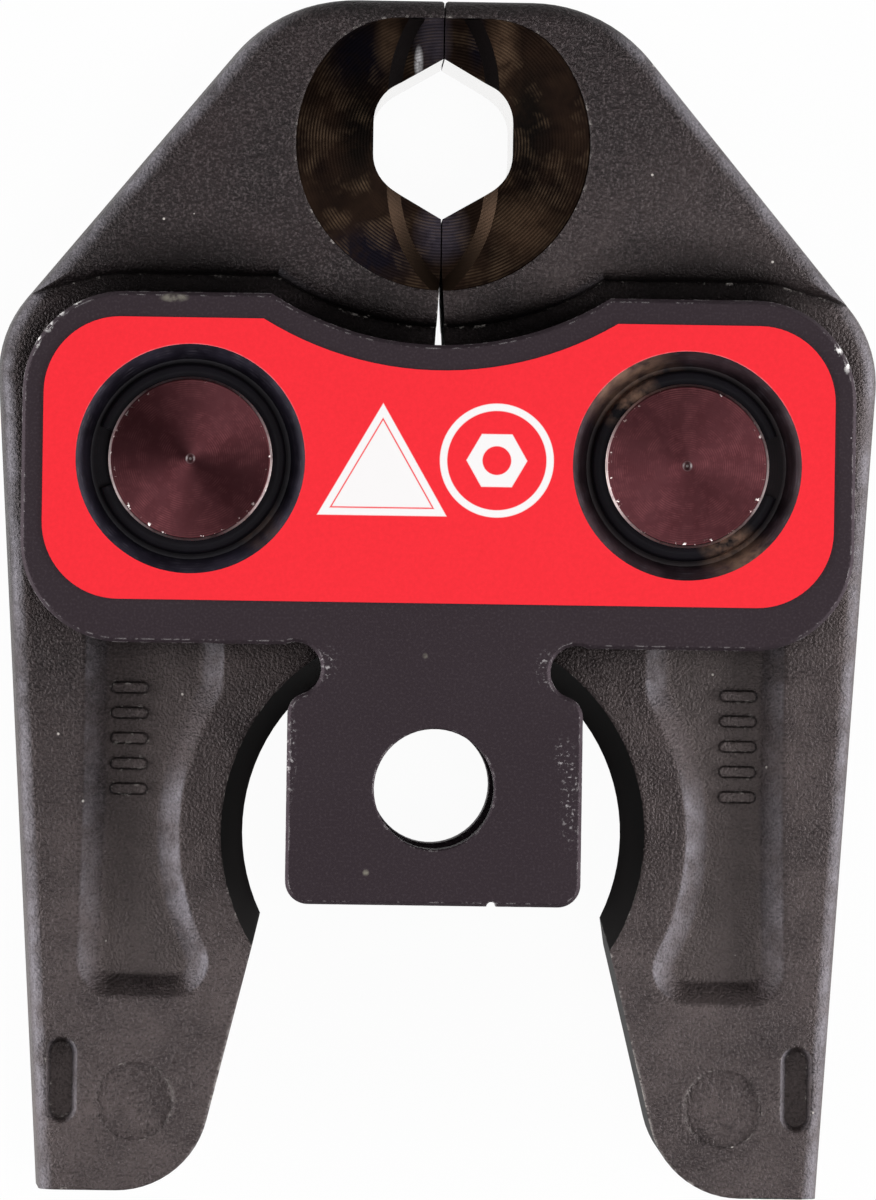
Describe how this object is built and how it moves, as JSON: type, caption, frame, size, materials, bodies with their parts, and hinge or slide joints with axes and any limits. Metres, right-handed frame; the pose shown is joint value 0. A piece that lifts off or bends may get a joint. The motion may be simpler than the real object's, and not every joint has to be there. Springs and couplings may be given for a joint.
{
  "type": "press fitting tool jaw",
  "caption": "Scissor press jaw for crimping pipe fittings: two forged steel arms with a hexagonal mouth and cam legs, pivoting between two T-shaped side plates.",
  "frame": {"origin": "on the axis of the locking pin bore, at the rear face of the rear side plate", "axes": "+Z through the thickness to the front plate, +Y to the press mouth, +X to the right arm"},
  "size_m": [0.105, 0.142, 0.0331],
  "materials": {
    "forged_steel": "dark oxide over a fine blasted grain",
    "plate_steel": "dark oxide on ground plate",
    "pin_steel": "brown oxide on a turned face",
    "ring_wire": "blued spring wire",
    "spring_wire": "drawn spring wire",
    "red_label": "printed satin film"
  },
  "bodies": {
    "frame": {"front_plate": "plate_steel", "rear_plate": "plate_steel", "pivot_pin_left": "pin_steel", "pivot_pin_right": "pin_steel", "front_ring_left": "ring_wire", "front_ring_right": "ring_wire", "rear_ring_left": "ring_wire", "rear_ring_right": "ring_wire", "front_label": "red_label", "jaw_spring": "spring_wire"},
    "left_arm": {"jaw_left": "forged_steel"},
    "right_arm": {"jaw_right": "forged_steel"}
  },
  "joints": [
    {"name": "left_pivot", "type": "hinge", "parent": "frame", "child": "left_arm", "pos_m": [-0.02925, 0.0385, 0.0165], "axis": [0, 0, 1], "range_deg": [0, 13], "stiffness_Nm_per_rad": 1.5, "springref_deg": -17.19, "deforming": ["jaw_spring"]},
    {"name": "right_pivot", "type": "hinge", "parent": "frame", "child": "right_arm", "pos_m": [0.02925, 0.0385, 0.0165], "axis": [0, 0, -1], "range_deg": [0, 13], "stiffness_Nm_per_rad": 1.5, "springref_deg": -17.19, "deforming": ["jaw_spring"]}
  ]
}
